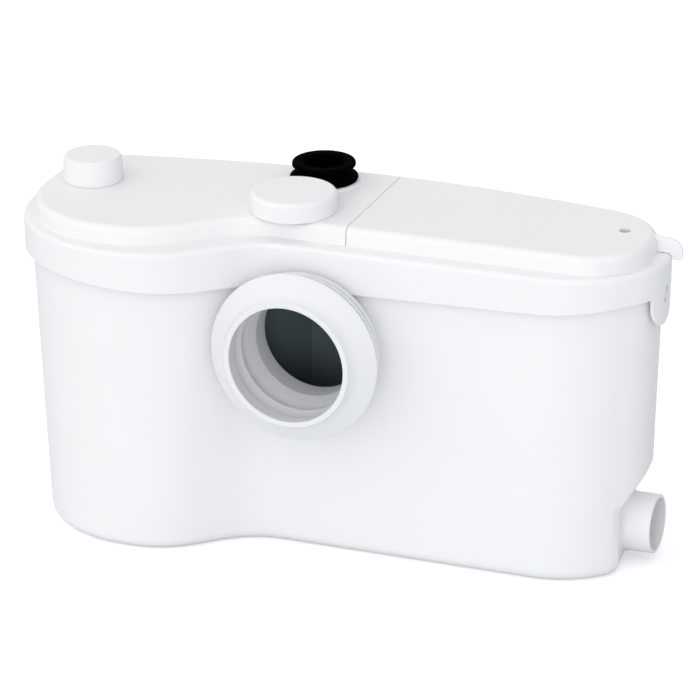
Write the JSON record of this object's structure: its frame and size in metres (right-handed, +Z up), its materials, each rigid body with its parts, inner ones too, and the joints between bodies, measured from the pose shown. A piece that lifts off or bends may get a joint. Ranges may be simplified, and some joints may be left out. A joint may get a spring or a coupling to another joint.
{
  "type": "macerator toilet pump",
  "caption": "White case with a wavy front, a rubber pan inlet sleeve, capped inlets, a black discharge connector on the lid, a side inlet spigot, and a horizontal grinder pump inside.",
  "frame": {"origin": "on the floor, straight under the axis of the pan inlet", "axes": "+X to the right along the case, +Y to the back, +Z up; the pan inlet faces -Y"},
  "size_m": [0.5318, 0.2207, 0.2959],
  "materials": {
    "case_white": "moulded polypropylene, satin gloss",
    "sleeve_white": "moulded white rubber, matt",
    "rubber_black": "moulded black rubber, matt",
    "seal_grey": "soft grey rubber",
    "chamber_dark": "dark grey moulded plastic",
    "plastic_grey": "grey moulded plastic",
    "plastic_ivory": "ivory moulded plastic",
    "steel": "turned stainless steel",
    "core_iron": "stacked core plates",
    "winding_copper": "lacquered copper wire"
  },
  "bodies": {
    "case": {"tank": "case_white", "lid": "case_white", "lid_gasket": "seal_grey", "left_cap_seal": "seal_grey", "inspection_cap_seal": "seal_grey", "discharge_connector": "rubber_black", "inlet_sleeve": "sleeve_white", "grinder_chamber": "chamber_dark", "chamber_cover": "chamber_dark", "cutter_ring": "steel", "pump_volute": "plastic_grey", "shaft_seal": "rubber_black", "stator": "core_iron", "windings": "winding_copper", "motor_can": "steel", "motor_end_cap": "steel", "front_bearing": "steel", "rear_bearing": "steel", "motor_cradle": "plastic_grey", "discharge_pipe": "case_white", "valve_body": "plastic_grey", "pressure_chamber": "plastic_grey", "membrane": "rubber_black", "membrane_cover": "plastic_grey", "microswitch": "plastic_grey", "switch_housing": "plastic_grey", "electrics_box": "case_white", "electrics_lid": "case_white", "capacitor": "plastic_ivory", "terminal_block": "plastic_ivory", "cable_gland": "rubber_black"},
    "spindle": {"motor_shaft": "steel", "motor_rotor": "core_iron", "impeller": "plastic_grey", "grinder_rotor": "steel"},
    "left_inlet_cap": {"left_cap": "case_white"},
    "inspection_lid": {"inspection_cap": "case_white"},
    "cover": {"service_cover": "case_white", "cover_screw": "steel"},
    "check_flap": {"valve_flap": "rubber_black"},
    "side_flap": {"side_inlet_flap": "rubber_black"},
    "plunger": {"switch_plunger": "plastic_ivory"}
  },
  "joints": [
    {"name": "spindle_spin", "type": "hinge", "parent": "case", "child": "spindle", "pos_m": [0.15, -0.007, 0.1385], "axis": [1, 0, 0], "continuous": true},
    {"name": "left_cap_lift", "type": "slide", "parent": "case", "child": "left_inlet_cap", "axis": [0, 0, 1], "range_m": [0, 0.03]},
    {"name": "inspection_cap_lift", "type": "slide", "parent": "case", "child": "inspection_lid", "axis": [0, 0, 1], "range_m": [0, 0.03]},
    {"name": "service_cover_lift", "type": "slide", "parent": "case", "child": "cover", "axis": [0, 0, 1], "range_m": [0, 0.04]},
    {"name": "valve_flap_swing", "type": "hinge", "parent": "case", "child": "check_flap", "pos_m": [0.0402, 0.049, 0.2465], "axis": [0, 1, 0], "range_deg": [0, 50]},
    {"name": "side_flap_swing", "type": "hinge", "parent": "case", "child": "side_flap", "pos_m": [0.22702, 0.02, 0.0573], "axis": [0, 1, 0], "range_deg": [0, 60]},
    {"name": "plunger_press", "type": "slide", "parent": "case", "child": "plunger", "axis": [0, 0, 1], "range_m": [0, 0.003], "stiffness_N_per_m": 150}
  ]
}
